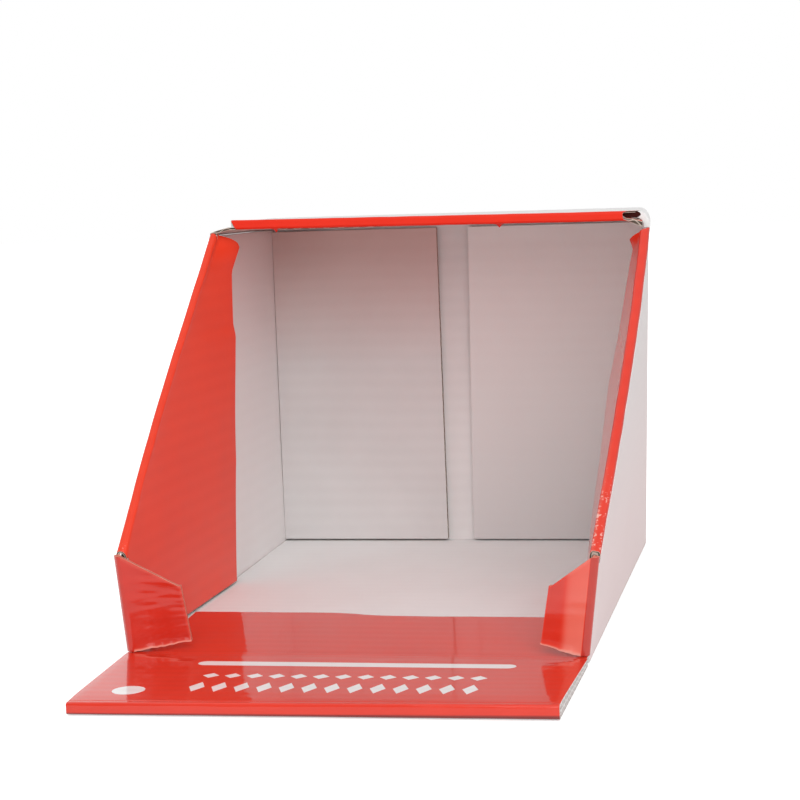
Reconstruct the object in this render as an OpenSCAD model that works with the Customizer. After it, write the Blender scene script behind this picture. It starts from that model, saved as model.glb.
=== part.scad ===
// Counter display carton of corrugated board, lying on its display back with the mouth to the front.
// Millimetres. X runs along the header crease, Y goes back into the carton, Z is up.
// The origin is the middle of the floor panel's underside. Heights and depths in the functions
// below are counted from the header crease, and from_crease() sets them into this frame.

/* [Carton] */
// Outer width across the two side walls
carton_width = 180; // [160:1:240]
// Depth from the header crease to the outside of the base
carton_depth = 222; // [200:1:280]
// Height of the top panel at its front fold
mouth_height = 164; // [150:1:190]
// Fall of the top panel from its front fold to the base
top_fall = 3; // [0:0.5:12]
// Height of the short front edges that carry the corner tabs
shoulder_height = 41.5; // [32:0.5:60]
// Distance from the header crease back to the front fold of the top panel
slope_run = 118.5; // [95:0.5:140]
// Distance from the header crease back to the front edges of the side walls
wall_setback = 3.5; // [3.2:0.1:8]

/* [Board] */
// Thickness of the corrugated board
board = 2.8; // [1.6:0.1:3.6]
// Gap left between panels that meet at a crease or lie on each other
crease_gap = 0.1; // [0.05:0.01:0.2]
// Gap between a moving panel and what it moves past
swing_gap = 0.3; // [0.2:0.05:0.6]
// Rounding of the rolled folds
fold_round = 1.3; // [0.5:0.1:1.4]
// Thickness of a flap that was pressed flat when it was glued under the top panel
pressed_board = 1.3; // [0.8:0.1:2]
// Thickness of each board where it is pressed thin at the header crease
crease_board = 1; // [0.5:0.1:1.6]
// Distance from the header crease over which the boards swell to full thickness
crease_reach = 20; // [6:1:24]
// Width of the rolled folds along the slopes
slope_fold_width = 4.2; // [3.6:0.1:5]
// Distance from the walls' front edges back to the lower ends of those folds
slope_fold_start = 3.2; // [2.5:0.1:8]

/* [Stance of the walls] */
// Outward lean of the right wall's top edge at the base
right_lean_back = 5.5; // [0:0.1:8]
// Outward lean of the right wall's top edge at its front corner
right_lean_front = 16.4; // [0:0.1:18]
// Outward belly of the right wall half way up its front edge
right_belly = -2.8; // [-6:0.1:8]
// Outward lean of the left wall's top edge at the base
left_lean_back = -0.7; // [-4:0.1:8]
// Outward lean of the left wall's top edge at its front corner
left_lean_front = -3.6; // [-6:0.1:14]
// Outward belly of the left wall half way up its front edge
left_belly = 7.7; // [-6:0.1:9]

/* [Top panel] */
// Sideways shift of the top panel's front edge, where it was glued askew
top_shift_front = 12.8; // [0:0.1:16]
// Sideways shift of the top panel's back edge
top_shift_back = 2.4; // [0:0.1:6]
// Rounding of the fold between the top panel and the right wall
top_side_round = 4; // [0.5:0.5:6]
// Depth of the red return glued under the top panel
top_return_depth = 46; // [20:1:60]
// Reach of the glue flap from the left wall under the top panel
glue_flap_reach = 28; // [15:1:40]
// Distance from the top panel's right edge to the right end of its rolled fold
top_fold_inset = 12.7; // [6:0.1:16]

/* [Base] */
// Distance from the middle of the base to the left base flap's free edge
left_flap_edge = 5.5; // [0.5:0.1:40]
// Distance from the middle of the base to the right base flap's free edge
right_flap_edge = 7.2; // [0.5:0.1:40]
// Slant of the right base flap's free edge over its height
right_flap_slant = 2.8; // [0:0.1:6]
// Height of the base flaps' lower edges above the floor
base_flap_lift = 1; // [0.5:0.1:4]
// Stand-off of the base flaps from the base panel
base_flap_gap = 0.6; // [0.1:0.1:2]

/* [Side returns] */
// Distance from the header crease back to the free edges of the side returns
return_edge = 122.5; // [100:0.5:150]
// Height of the side returns' top corners
return_top = 153; // [120:0.5:154]
// Height of the side returns' lower edges above the floor panel
return_lift = 1.2; // [0.5:0.1:4]
// Distance from the walls' front edges back to the cut-back that lets the corner tabs fold in
return_heel = 4.5; // [4:0.1:10]
// Inward flare of the left return behind its fold
left_return_flare = 7; // [0:0.5:9]
// Inward flare of the right return behind its fold
right_return_flare = 6; // [0:0.5:9]
// Distance over which a return's flare grows
flare_reach = 12; // [6:1:30]

/* [Header] */
// Length of the header from its crease to its folded front edge
header_length = 72; // [50:1:110]
// Inset of the header's left end at the front
header_left_inset = 2.6; // [0:0.1:8]
// Inset of the header's right end at the front
header_right_inset = 0.9; // [0:0.1:8]
// Depth of the header's tail that is glued to the floor panel
glue_strip_depth = 54; // [20:1:90]
// Inset of the glued tail from the outside of each side wall
glue_strip_inset = 8; // [7:0.5:20]

/* [Corner tabs] */
// Reach of the left tab from its fold to its free edge
left_tab_reach = 21.4; // [12:0.1:40]
// Reach of the right tab from its fold to its free edge
right_tab_reach = 16.2; // [12:0.1:40]
// Height of the tabs' free edges at the top
tab_free_top = 26.5; // [15:0.1:31]
// Height of the tabs' lower edges at the fold
tab_fold_low = 3; // [3:0.1:8]
// Height of the tabs' lower edges at the free end
tab_free_low = 6.1; // [6:0.1:12]
// Cut-back of the tabs' free edges from bottom to top
tab_rake = 1; // [0:0.1:4]
// Angle at which the left tab leans back into the carton
left_tab_angle = 10; // [0:1:60]
// Angle at which the right tab leans back into the carton
right_tab_angle = 12; // [0:1:60]

/* [Hidden] */
left = -1;
right = 1;
half_width = carton_width / 2;
double_board = 2 * board;
base_height = mouth_height - top_fall;
// Height of the side walls at their top front corners, one double board under the top fold
corner_height = mouth_height - double_board;
slope_grade = (corner_height - shoulder_height) / (slope_run - wall_setback);
// Upright thickness of the rolled fold along the slope
slope_drop = board * sqrt(1 + slope_grade * slope_grade);
// Depth at which the slope line under the fold meets the wall's top edge
wall_peak = slope_run + slope_drop / slope_grade;
corner_share = (carton_depth - slope_run) / carton_depth;
wall_rows = 8;
white_liner = [0.9, 0.89, 0.88];
red_print = [0.86, 0.17, 0.12];

function mix(a, b, t) = a + (b - a) * t;
function steps(a, b, n) = [for (i = [0:n]) mix(a, b, i / n)];

// Outward offset of a side wall at depth y and height z
function lean(side, y, z) =
  let (
    back = side == left ? left_lean_back : right_lean_back,
    front = side == left ? left_lean_front : right_lean_front,
    belly = side == left ? left_belly : right_belly,
    up = z / base_height,
    ahead = (carton_depth - y) / carton_depth
  )
  up * (back + (front - back) * ahead / corner_share) + 4 * belly * up * (1 - up) * ahead;

// X of a point that lies inset from a side wall's outer face
function wall_x(side, inset, y, z) = side * (half_width - inset + lean(side, y, z));
// X of a flat panel's edge that stays inside a side wall between two depths
function inside_x(side, inset, y_a, y_b, z) =
  side * (half_width - inset + min(lean(side, y_a, z), lean(side, y_b, z)));
function slope_z(y) = shoulder_height + slope_grade * (y - wall_setback);
function slope_y(z) = wall_setback + (z - shoulder_height) / slope_grade;
function top_z(y) = mix(mouth_height, base_height, (y - slope_run) / (carton_depth - slope_run));
function top_shift(y) = mix(top_shift_front, top_shift_back, (y - slope_run) / (carton_depth - slope_run));
// Top edge of a side wall, which the right wall carries up to the top panel's fold
function wall_top(side, y) = top_z(max(y, slope_run)) - (side == left ? double_board : board) - crease_gap;
function wall_high(side, y) = min(slope_z(y) - slope_drop - crease_gap, wall_top(side, y));

// Distance behind the slope's fold
function behind_fold(y, z) = max(0, y - slope_y(z + slope_drop));
// Inset of a return's outer face, which springs inward behind the fold
function return_outer(side, y, z) =
  board + crease_gap + (side == left ? left_return_flare : right_return_flare)
    * (1 - exp(-behind_fold(y, z) / flare_reach)) * min(1, z / shoulder_height);
// Inset of its inner face: the board is pressed thin at the fold
function return_inner(side, y, z) =
  return_outer(side, y, z)
    + min(board, slope_fold_width - board - crease_gap + behind_fold(y, z) / 3);
// Thickness of a board at a distance from the header crease
function crease_press(d) = mix(crease_board, board, min(1, d / crease_reach));

// The returns' lower edges, cut back steeply at the front behind the corner tabs
heel_grade = 3;
heel_top = shoulder_height - slope_drop - 2.8;
function return_low(y) =
  max(board + return_lift, heel_top - heel_grade * (y - wall_setback - return_heel));
function return_high(y) = min(slope_z(y) - slope_drop - crease_gap, return_top);

module from_crease() {
  translate([0, -carton_depth / 2, 0]) children();
}

// A board that follows a side wall, between two insets from the wall's outer face
module wall_board(side, stations, low, high, outer, inner, rows = wall_rows) {
  n = len(stations);
  points = [
    for (face = [0, 1], y = stations, j = [0:rows])
      let (z = mix(low(y), high(y), j / rows))
      [wall_x(side, face == 0 ? outer(y, z) : inner(y, z), y, z), y, z]
  ];
  at = function (face, i, j) (face * n + i) * (rows + 1) + j;
  grid = [
    for (face = [0, 1], i = [0:n - 2], j = [0:rows - 1])
      let (a = at(face, i, j), b = at(face, i + 1, j), c = at(face, i + 1, j + 1), d = at(face, i, j + 1))
      each face == 0 ? [[a, c, b], [a, d, c]] : [[a, b, c], [a, c, d]]
  ];
  ends = [
    for (i = [0, n - 1], j = [0:rows - 1])
      let (a = at(0, i, j), b = at(1, i, j), c = at(1, i, j + 1), d = at(0, i, j + 1))
      each i == 0 ? [[a, b, c], [a, c, d]] : [[a, c, b], [a, d, c]]
  ];
  rims = [
    for (j = [0, rows], i = [0:n - 2])
      let (a = at(0, i, j), b = at(0, i + 1, j), c = at(1, i + 1, j), d = at(1, i, j))
      each j == 0 ? [[a, b, c], [a, c, d]] : [[a, c, b], [a, d, c]]
  ];
  all_faces = concat(grid, ends, rims);
  polyhedron(points, side == right ? all_faces : [for (f = all_faces) [f[0], f[2], f[1]]]);
}

// The main panel of a side: five-cornered, with a short front edge and a slope
module side_panel(side) {
  stations = concat(steps(wall_setback, slope_run, 7), [wall_peak], steps(wall_peak + 8, carton_depth, 5));
  color(white_liner) from_crease()
    wall_board(side, stations, function (y) 0, function (y) wall_high(side, y),
      function (y, z) 0, function (y, z) board);
}

// Inset of the fold's rounded faces at a depth n under its crown
function crown_inset(n) =
  n >= fold_round ? 0 : fold_round - sqrt(fold_round * fold_round - (fold_round - n) * (fold_round - n));

// The rolled fold along the slope, a narrow panel between two creases
module slope_fold(side) {
  crown = function (y, z) crown_inset((slope_z(y) - z) * board / slope_drop);
  color(red_print) from_crease()
    wall_board(side, steps(wall_setback + slope_fold_start, slope_run, 7),
      function (y) slope_z(y) - slope_drop, function (y) slope_z(y),
      function (y, z) crown(y, z), function (y, z) slope_fold_width - crown(y, z));
}

// The red return, folded in over the slope and standing just above the floor
module side_return(side) {
  // Depth at which the cut-back meets the fold, from the two lines' heights there
  y_heel = (heel_top + heel_grade * (wall_setback + return_heel) + slope_drop + crease_gap
    - shoulder_height + slope_grade * wall_setback) / (heel_grade + slope_grade) + 0.4;
  y_foot = wall_setback + return_heel + (heel_top - board - return_lift) / heel_grade;
  y_top = slope_y(return_top + slope_drop);
  stations = concat(steps(y_heel, y_foot, 4), steps(y_foot + 8, y_top, 7), [return_edge]);
  color(red_print) from_crease()
    wall_board(side, stations,
      function (y) return_low(y),
      function (y) return_high(y),
      function (y, z) return_outer(side, y, z),
      function (y, z) return_inner(side, y, z));
}

// A board seen from its end, drawn as depth and height, and its width along the crease
module across(half, outline) {
  translate([-half, 0, 0]) rotate([90, 0, 90]) linear_extrude(2 * half) polygon(outline);
}

module floor_panel() {
  back = carton_depth - board - crease_gap;
  color(white_liner) from_crease()
    across(half_width - board - crease_gap, [
      [crease_gap, 0],
      [back, 0],
      [back, board],
      [crease_reach, board],
      [crease_gap, crease_press(crease_gap)]
    ]);
}

// The base panel closes the carton behind the two base flaps
module base_panel() {
  low = crease_gap;
  high = base_height - board - crease_gap;
  edge = function (side, z) inside_x(side, board + crease_gap, carton_depth - board, carton_depth, z);
  color(white_liner) from_crease() translate([0, carton_depth, 0]) rotate([90, 0, 0])
    linear_extrude(board)
      polygon([
        [edge(left, low), low],
        [edge(right, low), low],
        [edge(right, high), high],
        [edge(left, high), high]
      ]);
}

// A flap hinged on a side wall's back edge and folded across the base
module base_flap(side) {
  low = board + base_flap_lift;
  high = base_height - double_board - base_flap_lift;
  face = carton_depth - board - base_flap_gap;
  fold = function (z) inside_x(side, board + crease_gap, face - board, face, z);
  edge = side == left ? left_flap_edge : right_flap_edge;
  slant = side == left ? 0 : right_flap_slant;
  color(white_liner) from_crease() translate([0, face, 0]) rotate([90, 0, 0])
    linear_extrude(board)
      polygon([
        [fold(low), low],
        [side * edge, low],
        [side * (edge + slant), high],
        [fold(high), high]
      ]);
}

// X of the top panel's side edges, the right one being its fold to the right wall
function top_left(y) = -half_width + top_shift(y);
function top_right(y) = wall_x(right, 0, y, top_z(y));

module top_panel() {
  front = slope_run + board + crease_gap;
  back = carton_depth;
  points = [
    for (drop = [board, 0])
      let (round = drop == 0 ? top_side_round : 0.1 * top_side_round)
      each [
        [top_left(front), front, top_z(front) - drop],
        [top_right(front) - round, front, top_z(front) - drop],
        [top_right(back) - round, back, top_z(back) - drop],
        [top_left(back), back, top_z(back) - drop]
      ]
  ];
  color(white_liner) from_crease()
    polyhedron(points, [[0, 1, 2, 3], [7, 6, 5, 4], [0, 4, 5, 1], [1, 5, 6, 2], [2, 6, 7, 3], [3, 7, 4, 0]]);
}

// Lower faces of the top panel's glued flaps
function flap_low(y) = top_z(y) - board - pressed_board - crease_gap;

// The left wall's glue flap, folded in and glued under the top panel
module left_glue_flap() {
  front = slope_run + board + crease_gap;
  back = carton_depth - double_board - base_flap_gap - 2 * crease_gap;
  edge = function (y) wall_x(left, 0, y, top_z(y) - double_board);
  // The flap rises from the wall's top edge and lies flat from under the top panel's edge on
  points = [
    for (y = [front, back])
      let (rise = max(2, top_left(y) - edge(y)), low = flap_low(y))
      each [
        [edge(y), y, top_z(y) - double_board],
        [edge(y) + rise, y, low],
        [edge(y) + glue_flap_reach, y, low],
        [edge(y) + glue_flap_reach, y, low + pressed_board],
        [edge(y) + rise, y, low + pressed_board],
        [edge(y), y, top_z(y) - double_board + pressed_board]
      ]
  ];
  color(white_liner) from_crease()
    polyhedron(points, concat(
      [[0, 1, 4, 5], [1, 2, 3, 4], [11, 10, 7, 6], [10, 9, 8, 7]],
      [for (i = [0:5]) let (j = (i + 1) % 6) [i, i + 6, j + 6, j]]
    ));
}

// The top panel's red return, glued under it to the right of the glue flap
module top_return() {
  front = slope_run + board + crease_gap;
  back = front + top_return_depth;
  flap_end = function (y) wall_x(left, 0, y, top_z(y) - double_board) + glue_flap_reach + swing_gap;
  wall_end = function (y) wall_x(right, double_board + right_return_flare, y, flap_low(y));
  points = [
    for (up = [0, pressed_board])
      each [
        [flap_end(front), front, flap_low(front) + up],
        [wall_end(front), front, flap_low(front) + up],
        [wall_end(back), back, flap_low(back) + up],
        [flap_end(back), back, flap_low(back) + up]
      ]
  ];
  color(red_print) from_crease()
    polyhedron(points, [[0, 1, 2, 3], [7, 6, 5, 4], [0, 4, 5, 1], [1, 5, 6, 2], [2, 6, 7, 3], [3, 7, 4, 0]]);
}

// Outline of a rolled fold in section, round on the side that shows
module fold_section(depth, height) {
  hull() {
    translate([fold_round, fold_round]) circle(r = fold_round, $fn = 24);
    translate([fold_round, height - fold_round]) circle(r = fold_round, $fn = 24);
    translate([depth - crease_gap, 0]) square([crease_gap, height]);
  }
}

// The rolled fold along the top panel's front edge
module top_front_fold() {
  x_left = -half_width + top_shift_front;
  x_right = top_right(slope_run) - top_fold_inset;
  height = board + pressed_board;
  color(red_print) from_crease()
    translate([x_left, slope_run, mouth_height - height]) rotate([90, 0, 90])
      linear_extrude(x_right - x_left) fold_section(board, height);
}

// The tail of the header's face, carried over the crease and glued to the floor
module header_glue_strip() {
  back = crease_gap + glue_strip_depth;
  low = crease_press(crease_gap);
  color(red_print) from_crease()
    across(half_width - glue_strip_inset, [
      [crease_gap, low],
      [crease_reach, board],
      [back, board],
      [back, double_board],
      [crease_reach, double_board],
      [crease_gap, 2 * low]
    ]);
}

// Plan outline of the header between two distances in front of its crease
module header_plan(near, far) {
  left_x = function (d) -half_width + header_left_inset * d / header_length;
  right_x = function (d) half_width - header_right_inset * d / header_length;
  polygon([[left_x(near), -near], [left_x(far), -far], [right_x(far), -far], [right_x(near), -near]]);
}

module header_backing_panel() {
  end = header_length - board - crease_gap;
  color(white_liner) from_crease() intersection() {
    linear_extrude(double_board) header_plan(swing_gap, end);
    across(half_width, [
      [-swing_gap, 0],
      [-swing_gap, crease_press(swing_gap)],
      [-crease_reach, board],
      [-end, board],
      [-end, 0]
    ]);
  }
}

module header_face_panel() {
  end = header_length - board - crease_gap;
  low = crease_press(swing_gap);
  color(red_print) from_crease() intersection() {
    linear_extrude(double_board) header_plan(swing_gap, end);
    across(half_width, [
      [-swing_gap, low + crease_gap],
      [-swing_gap, 2 * low],
      [-crease_reach, double_board],
      [-end, double_board],
      [-end, board + crease_gap],
      [-crease_reach, board + crease_gap]
    ]);
  }
}

// The rolled fold along the header's front edge
module header_front_fold() {
  x_left = -half_width + header_left_inset;
  x_right = half_width - header_right_inset;
  color(red_print) from_crease()
    translate([x_left, -header_length, 0]) rotate([90, 0, 90])
      linear_extrude(x_right - x_left) fold_section(board, double_board);
}

// Plan section of a corner tab: its board and the rolled fold over the wall's front edge
module tab_section(reach) {
  translate([swing_gap, -board]) square([reach, board]);
  intersection() {
    circle(r = board, $fn = 48);
    translate([-board, -board]) square([board + swing_gap, board - swing_gap]);
  }
}

// A corner tab, hinged on a side wall's short front edge and folded in past square
module corner_tab(side) {
  reach = side == left ? left_tab_reach : right_tab_reach;
  angle = side == left ? left_tab_angle : right_tab_angle;
  high = shoulder_height - 4 * swing_gap;
  tilt = atan(lean(side, wall_setback, high) / high);
  color(red_print) from_crease() mirror([side == right ? 1 : 0, 0, 0])
    translate([-half_width + board, wall_setback, 0]) rotate([0, -tilt, 0]) rotate([0, 0, angle])
      intersection() {
        linear_extrude(shoulder_height) tab_section(reach);
        rotate([90, 0, 0]) linear_extrude(4 * board, center = true)
          polygon([
            [-2 * board, tab_fold_low],
            [0, tab_fold_low],
            [reach, tab_free_low],
            [reach - tab_rake, tab_free_top],
            [0, high],
            [-2 * board, high]
          ]);
      }
}

module left_side_panel() { side_panel(left); }
module right_side_panel() { side_panel(right); }
module left_slope_fold() { slope_fold(left); }
module right_slope_fold() { slope_fold(right); }
module left_side_return() { side_return(left); }
module right_side_return() { side_return(right); }
module left_base_flap() { base_flap(left); }
module right_base_flap() { base_flap(right); }
module left_corner_tab() { corner_tab(left); }
module right_corner_tab() { corner_tab(right); }

floor_panel();
left_side_panel();
right_side_panel();
top_panel();
left_glue_flap();
base_panel();
left_base_flap();
right_base_flap();
left_slope_fold();
right_slope_fold();
left_side_return();
right_side_return();
top_front_fold();
top_return();
header_glue_strip();
header_backing_panel();
header_front_fold();
header_face_panel();
left_corner_tab();
right_corner_tab();
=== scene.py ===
import math
import bpy
from mathutils import Matrix, Vector, noise


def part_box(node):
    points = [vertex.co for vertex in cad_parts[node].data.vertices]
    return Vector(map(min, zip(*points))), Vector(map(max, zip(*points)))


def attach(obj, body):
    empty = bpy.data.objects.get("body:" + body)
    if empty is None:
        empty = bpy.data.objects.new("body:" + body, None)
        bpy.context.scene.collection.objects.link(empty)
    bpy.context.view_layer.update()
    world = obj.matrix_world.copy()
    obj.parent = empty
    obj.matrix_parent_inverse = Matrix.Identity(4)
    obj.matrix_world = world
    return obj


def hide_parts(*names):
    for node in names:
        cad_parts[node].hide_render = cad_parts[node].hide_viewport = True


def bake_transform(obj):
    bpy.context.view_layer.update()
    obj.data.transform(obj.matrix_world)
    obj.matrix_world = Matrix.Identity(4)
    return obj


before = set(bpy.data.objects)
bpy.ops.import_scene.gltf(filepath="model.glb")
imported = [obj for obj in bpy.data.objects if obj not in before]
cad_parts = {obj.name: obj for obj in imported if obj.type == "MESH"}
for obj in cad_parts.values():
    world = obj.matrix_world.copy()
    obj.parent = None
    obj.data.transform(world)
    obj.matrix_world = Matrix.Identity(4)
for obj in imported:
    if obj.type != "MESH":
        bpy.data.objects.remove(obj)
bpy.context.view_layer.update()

# Viewpoint of the photograph: a little to the right of the carton and just above its top.
# The lens is shifted so that the carton sits where it does in the photograph's frame.
eye = Vector((0.18916, -0.85303, 0.20235))
sight_right = Vector((0.98242, 0.18291, -0.03744))
sight_up = Vector((0.0121, 0.13771, 0.9904))
sight_back = Vector((0.18631, -0.97344, 0.13308))
bpy.ops.object.select_all(action="DESELECT")
bpy.ops.object.camera_add()
camera = bpy.context.object
camera.name = "photo_camera"
camera.data.sensor_width = 36
camera.data.lens = 92.3
camera.data.shift_x = -0.08225
camera.data.shift_y = 0.0005
camera.data.clip_start = 0.01
camera.matrix_world = Matrix((
    (sight_right.x, sight_up.x, sight_back.x, eye.x),
    (sight_right.y, sight_up.y, sight_back.y, eye.y),
    (sight_right.z, sight_up.z, sight_back.z, eye.z),
    (0, 0, 0, 1)))
bpy.context.scene.camera = camera
bpy.context.scene.view_settings.view_transform = "Standard"


# Studio: an even white room and one broad soft lamp from the front and above.
# A ray from the eye or off a gloss sees a plain white room, dimmer behind the eye, which
# doesn't light the carton.
CLEAR_WHITE = (1, 1, 1, 1)
ROOM_LEVEL, LAMP_POWER = 0.64, 16


def add_node(tree, kind, inputs=(), **settings):
    made = tree.nodes.new("ShaderNode" + kind)
    for key, value in settings.items():
        setattr(made, key, value)
    for socket, value in dict(inputs).items():
        if isinstance(value, bpy.types.NodeSocket):
            tree.links.new(value, made.inputs[socket])
        else:
            made.inputs[socket].default_value = value
    return made


def empty_tree(holder):
    holder.use_nodes = True
    holder.node_tree.nodes.clear()
    return holder.node_tree


def calc(tree, operation, a, b=0.0, c=0.0):
    return add_node(tree, "Math", {0: a, 1: b, 2: c}, operation=operation).outputs[0]


def pick(tree, axis, source):
    parts = add_node(tree, "SeparateXYZ", {0: source})
    return parts.outputs["XYZ".index(axis)]


def ramp(tree, value, start, end, low=0.0, high=1.0):
    """An even change from low, where the value is at start, to high, where it is at end."""
    return add_node(tree, "MapRange", {0: value, 1: start, 2: end, 3: low, 4: high}).outputs[0]


def seen_directly(tree, also_gloss=True):
    """One for the rays that see plain white, and none for those that light the carton."""
    path = add_node(tree, "LightPath")
    clear = calc(tree, "MAXIMUM", path.outputs["Is Camera Ray"], path.outputs["Is Transmission Ray"])
    return calc(tree, "MAXIMUM", clear, path.outputs["Is Glossy Ray"]) if also_gloss else clear


room = bpy.data.worlds.new("white_room")
bpy.context.scene.world = room
tree = empty_tree(room)
room_light = add_node(tree, "Background", {"Color": CLEAR_WHITE, "Strength": ROOM_LEVEL})
toward = pick(tree, "Y", add_node(tree, "TexCoord").outputs["Generated"])
room_shown = calc(tree, "MAXIMUM", ramp(tree, toward, -0.5, 0.2, 0.3, 1.0), seen_directly(tree, False))
room_white = add_node(tree, "Background", {"Color": CLEAR_WHITE, "Strength": room_shown})
room_mix = add_node(tree, "MixShader", {0: seen_directly(tree), 1: room_light.outputs[0],
                                        2: room_white.outputs[0]})
add_node(tree, "OutputWorld", {"Surface": room_mix.outputs[0]})

bpy.ops.object.light_add(type="AREA", location=(0.5, -1.25, 1.05))
lamp = bpy.context.object
lamp.name = "soft_lamp"
lamp.data.size = 1.5
lamp.data.energy = LAMP_POWER
lamp.rotation_euler = (Vector((0, 0, 0.05)) - lamp.location).to_track_quat("-Z", "Y").to_euler()

bpy.ops.mesh.primitive_plane_add(size=6, location=(0, 0, -0.0004))
ground = bpy.context.object
ground.name = "studio_floor"
paper = bpy.data.materials.new("studio_paper")
tree = empty_tree(paper)
paper_plain = add_node(tree, "BsdfDiffuse", {"Color": (0.8, 0.8, 0.8, 1)})
paper_lit = add_node(tree, "BsdfDiffuse", {"Color": (0.95, 0.95, 0.95, 1)})
away = add_node(tree, "VectorMath", {0: add_node(tree, "TexCoord").outputs["Object"]}, operation="LENGTH")
lift = ramp(tree, away.outputs["Value"], 0.1, 1.2, 0.45, 0.9)
paper_lift = add_node(tree, "Emission", {"Color": CLEAR_WHITE, "Strength": lift})
paper_seen = add_node(tree, "AddShader", {0: paper_lit.outputs[0], 1: paper_lift.outputs[0]})
paper_mix = add_node(tree, "MixShader", {0: seen_directly(tree), 1: paper_plain.outputs[0],
                                         2: paper_seen.outputs[0]})
add_node(tree, "OutputMaterial", {"Surface": paper_mix.outputs[0]})
ground.data.materials.append(paper)


# Side walls: white-lined corrugated board, die-cut with a short front edge and a slope.
# Both lean and bow a little, as the glued carton does. Millimetres from the header crease.
LEFT, RIGHT = -1, 1
BOARD, FLUTE = 2.8, 6.5          # the board's thickness, and the pitch of its flutes
DEPTH, HALF = 222.0, 90.0        # along the floor, and half of the width
MOUTH, BASE = 164.0, 161.0       # height at the top's front edge, and at the back
SHOULDER, SETBACK = 41.5, 3.5    # a wall's short front edge: its height, and its place
RUN = 118.5                      # where the slopes end and the top starts
GRADE = (MOUTH - 2 * BOARD - SHOULDER) / (RUN - SETBACK)
DROP = BOARD * math.sqrt(1 + GRADE * GRADE)
HAIR, TAB_GAP = 0.1, 0.4         # between boards that touch, and between a wall and its corner tab
# How far each wall's top leans out at the back and where the slope ends, and how far the wall bows
STANCE = {LEFT: (-0.7, -3.6, 7.7), RIGHT: (5.5, 16.4, -2.8)}
# The right wall's rolled top edge: its radius, what crushing adds in front, and how far back that goes
ROUND, ROUND_CRUSHED, ROUND_FADE = 4.5, 3.5, 10
GRID_THICK = 0.1                 # thickness of the unit grid that every board starts as
WHITE, WHITE_SHADE = (0.85, 0.84, 0.835), (0.79, 0.775, 0.77)


def mix(a, b, t):
    return a + (b - a) * t


def lean(side, y, z):
    """How far a wall's face stands out from upright, at a place and a height."""
    back, front, belly = STANCE[side]
    up, ahead = z / BASE, (DEPTH - y) / DEPTH
    return (up * (back + (front - back) * ahead * DEPTH / (DEPTH - RUN))
            + 4 * belly * up * (1 - up) * ahead)


def wall_x(side, inset, y, z):
    """Place across the carton of a point that stands in from a wall's outer face."""
    return side * (HALF - inset + lean(side, y, z))


def slope_z(y):
    """Height of the crown of the folds along the walls' slopes."""
    return SHOULDER + GRADE * (y - SETBACK)


def top_z(y):
    """Height of the top's upper face, which falls a little toward the back."""
    return mix(MOUTH, BASE, (y - RUN) / (DEPTH - RUN))


def corner_round(y):
    """Radius of the fold between the right wall and the top, crushed softer at the front."""
    return ROUND + ROUND_CRUSHED * math.exp(-max(0.0, y - RUN) / ROUND_FADE)


def bent_board(name, columns, rows, place, skins, edge, keep=None, wear_and_shade=None):
    """A board of two faces, set where place(u, v, w) says; w is 0 on the face and 1 on its back.
    The skins are its face, back and edges. keep(u, v) trims its outline. The last function, of u and v, says
    how pale the print is where rubbed, and where a reflection is painted on it, up to 1; how dark it is
    painted as shade, down to -1; and then how chipped, 0 to 1."""
    bpy.ops.object.select_all(action="DESELECT")
    bpy.ops.mesh.primitive_grid_add(x_subdivisions=columns, y_subdivisions=rows, size=1)
    piece = bpy.context.object
    piece.name = name
    for skin in skins:
        piece.data.materials.append(skin)
    if keep:
        bpy.context.tool_settings.mesh_select_mode = (False, False, True)
        for face in piece.data.polygons:
            face.select = not keep(face.center.x + 0.5, face.center.y + 0.5)
        bpy.ops.object.mode_set(mode="EDIT")
        bpy.ops.mesh.delete(type="FACE")
        bpy.ops.object.mode_set(mode="OBJECT")
    shell = piece.modifiers.new("board", "SOLIDIFY")
    shell.thickness, shell.offset = GRID_THICK, -1
    shell.material_offset, shell.material_offset_rim = 1, 2
    bpy.ops.object.modifier_apply(modifier="board")
    mesh = piece.data
    depth = mesh.attributes.new("depth", "FLOAT", "POINT")
    # Above 0: paler print, from rubbed wear and a painted reflection; below 0: darker print, painted shade.
    rubbed_and_shaded = mesh.attributes.new("rubbed_and_shaded", "FLOAT", "POINT")
    chipped = mesh.attributes.new("chipped", "FLOAT", "POINT")
    # The grid is a square of one unit round the origin, so its points give u and v
    for i, vertex in enumerate(mesh.vertices):
        u, v = round(vertex.co.x + 0.5, 6), round(vertex.co.y + 0.5, 6)
        w = 1.0 if vertex.co.z < -GRID_THICK / 2 else 0.0
        depth.data[i].value = w
        rubbed_and_shaded.data[i].value, chipped.data[i].value = wear_and_shade(u, v) if wear_and_shade else (0.0, 0.0)
        x, y, z = place(u, v, w)
        vertex.co = (x / 1000, (y - DEPTH / 2) / 1000, z / 1000)
    bpy.ops.object.mode_set(mode="EDIT")
    bpy.ops.mesh.select_all(action="SELECT")
    bpy.ops.mesh.normals_make_consistent(inside=False)
    bpy.ops.object.mode_set(mode="OBJECT")
    rounding = piece.modifiers.new("edge", "BEVEL")
    rounding.width, rounding.segments = edge / 1000, 2
    rounding.limit_method, rounding.angle_limit = "ANGLE", math.radians(50)
    bpy.ops.object.modifier_apply(modifier="edge")
    bpy.ops.object.shade_smooth_by_angle(angle=math.radians(35))
    return piece


def mixed(tree, amount, a, b):
    """Colour a, turned to colour b by an amount from 0 to 1."""
    return add_node(tree, "Mix", {0: amount, 6: a, 7: b}, data_type="RGBA").outputs[2]


def shades(tree, value, dark, light, start=0.0, end=1.0):
    """A colour from dark to light, as the value goes from start to end."""
    made = add_node(tree, "ValToRGB", {0: value})
    for stop, position, colour in zip(made.color_ramp.elements, (start, end), (dark, light)):
        stop.position, stop.color = position, (*colour, 1)
    return made.outputs[0]


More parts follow.
